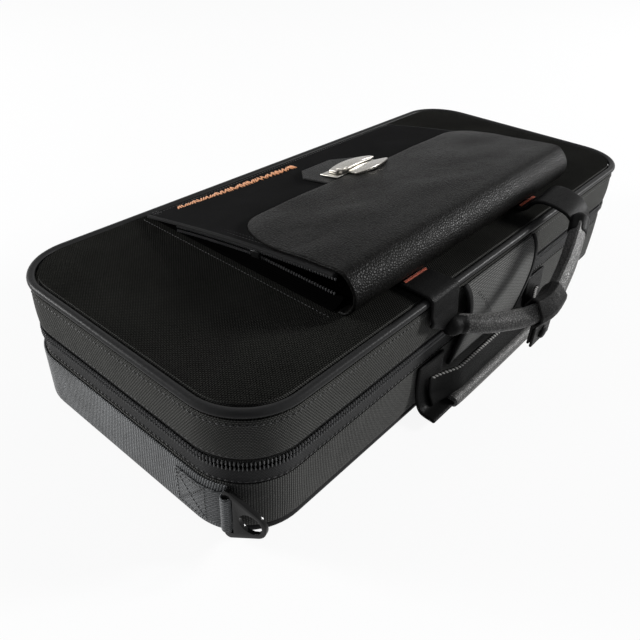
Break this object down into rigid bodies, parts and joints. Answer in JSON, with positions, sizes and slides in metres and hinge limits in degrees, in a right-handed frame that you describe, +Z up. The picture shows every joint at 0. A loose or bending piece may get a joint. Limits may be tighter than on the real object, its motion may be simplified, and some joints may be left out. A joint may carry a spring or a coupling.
{
  "type": "english horn case",
  "caption": "Soft-sided zipped case for an english horn, with fitted lining, wedge document pocket under a locking leather flap, rolled handles and strap rings.",
  "frame": {"origin": "middle of the flat underside, on the table", "axes": "+X along the case's length, +Y from the handles to the hinge, +Z up"},
  "size_m": [0.5117, 0.2736, 0.1249],
  "materials": {
    "nylon": "coarse woven nylon, matt",
    "smooth_nylon": "fine plain weave, slight sheen",
    "piping": "vinyl-covered cord, satin",
    "webbing": "woven webbing, silky sheen",
    "leather": "pebbled grain, satin",
    "zip_coil": "moulded coil, satin",
    "zip_metal": "black enamel",
    "nickel": "satin nickel plate",
    "ring_plastic": "gloss black",
    "plush": "short pile plush over foam",
    "foam": "pile cloth over foam",
    "thread": "dense satin stitch"
  },
  "bodies": {
    "base": {"base_shell": "nylon", "fitted_tray": "plush", "base_piping": "piping", "zip_tape_base": "smooth_nylon", "zip_coil_base": "zip_coil", "hinge_fabric_base": "smooth_nylon", "webbing_band": "webbing", "lower_tab_root_left": "leather", "lower_tab_root_right": "leather"},
    "lid": {"lid_shell": "nylon", "lid_pad": "foam", "lid_piping": "piping", "zip_tape_lid": "smooth_nylon", "zip_coil_lid": "zip_coil", "hinge_fabric_lid": "smooth_nylon", "cover_panel": "nylon", "pocket_panel": "smooth_nylon", "pocket_gusset_near": "nylon", "pocket_gusset_far": "nylon", "pocket_zip_lower_near": "zip_coil", "pocket_zip_lower_far": "zip_coil", "pocket_zip_upper_near": "zip_coil", "pocket_zip_upper_far": "zip_coil", "flap_roll": "leather", "lock_patch": "leather", "lock_base": "nickel", "lock_housing": "nickel", "lock_spring": "nickel", "upper_tab_root_left": "leather", "upper_tab_root_right": "leather", "bar_tack_left": "thread", "bar_tack_right": "thread"},
    "flap": {"flap_leaf": "leather", "hasp_plate": "nickel"},
    "release": {"lock_release_bar": "nickel"},
    "grip": {"upper_handle": "leather", "wrap_sleeve": "leather"},
    "tail": {"wrap_tail": "leather", "snap_cap": "leather"},
    "low_grip": {"lower_handle": "leather"},
    "ring_near": {"strap_ring_near": "ring_plastic"},
    "ring_far": {"strap_ring_far": "ring_plastic"},
    "slider_a": {"zip_slider_a": "zip_metal"},
    "pull_a": {"zip_pull_a": "zip_metal"},
    "slider_b": {"zip_slider_b": "zip_metal"},
    "pull_b": {"zip_pull_b": "zip_metal"},
    "pocket_slide": {"pocket_slider": "zip_metal"}
  },
  "joints": [
    {"name": "lid_hinge", "type": "hinge", "parent": "base", "child": "lid", "pos_m": [0, 0.111, 0.055], "axis": [-1, 0, 0], "range_deg": [0, 165]},
    {"name": "flap_fold", "type": "hinge", "parent": "lid", "child": "flap", "pos_m": [0, -0.075, 0.1249], "axis": [1, 0, 0], "range_deg": [0, 130]},
    {"name": "lock_release", "type": "slide", "parent": "lid", "child": "release", "axis": [-1, 0, 0], "range_m": [0, 0.004], "stiffness_N_per_m": 200, "springref_m": -0.002, "deforming": ["lock_spring"]},
    {"name": "upper_handle_swing", "type": "hinge", "parent": "lid", "child": "grip", "pos_m": [0, -0.11447, 0.10113], "axis": [-0.9929, -0.0078, -0.1183], "range_deg": [0, 130]},
    {"name": "wrap_tail_fold", "type": "hinge", "parent": "grip", "child": "tail", "pos_m": [-0.0028, -0.1546, 0.0546], "axis": [-1, 0, 0], "range_deg": [0, 90]},
    {"name": "lower_handle_swing", "type": "hinge", "parent": "base", "child": "low_grip", "pos_m": [0, -0.1132, 0.032], "axis": [-1, 0, 0], "range_deg": [0, 30]},
    {"name": "strap_ring_near_swing", "type": "hinge", "parent": "base", "child": "ring_near", "pos_m": [-0.2482, -0.09206, 0.0219], "axis": [0, 0, 1], "range_deg": [-160, 10]},
    {"name": "strap_ring_far_swing", "type": "hinge", "parent": "base", "child": "ring_far", "pos_m": [0.2482, -0.09206, 0.0219], "axis": [0, 0, -1], "range_deg": [0, 165]},
    {"name": "zip_slider_a_run", "type": "slide", "parent": "base", "child": "slider_a", "axis": [0, -1, 0], "range_m": [0, 0.054]},
    {"name": "zip_pull_a_swing", "type": "hinge", "parent": "slider_a", "child": "pull_a", "pos_m": [0.25365, -0.008, 0.055], "axis": [0, 0, 1], "range_deg": [0, 85]},
    {"name": "zip_slider_b_run", "type": "slide", "parent": "base", "child": "slider_b", "axis": [0, 1, 0], "range_m": [0, 0.054]},
    {"name": "zip_pull_b_swing", "type": "hinge", "parent": "slider_b", "child": "pull_b", "pos_m": [0.25365, 0.008, 0.055], "axis": [0, 0, -1], "range_deg": [0, 85]},
    {"name": "pocket_slider_run", "type": "slide", "parent": "lid", "child": "pocket_slide", "axis": [0, 0.9905, -0.1377], "range_m": [0, 0.045]}
  ]
}
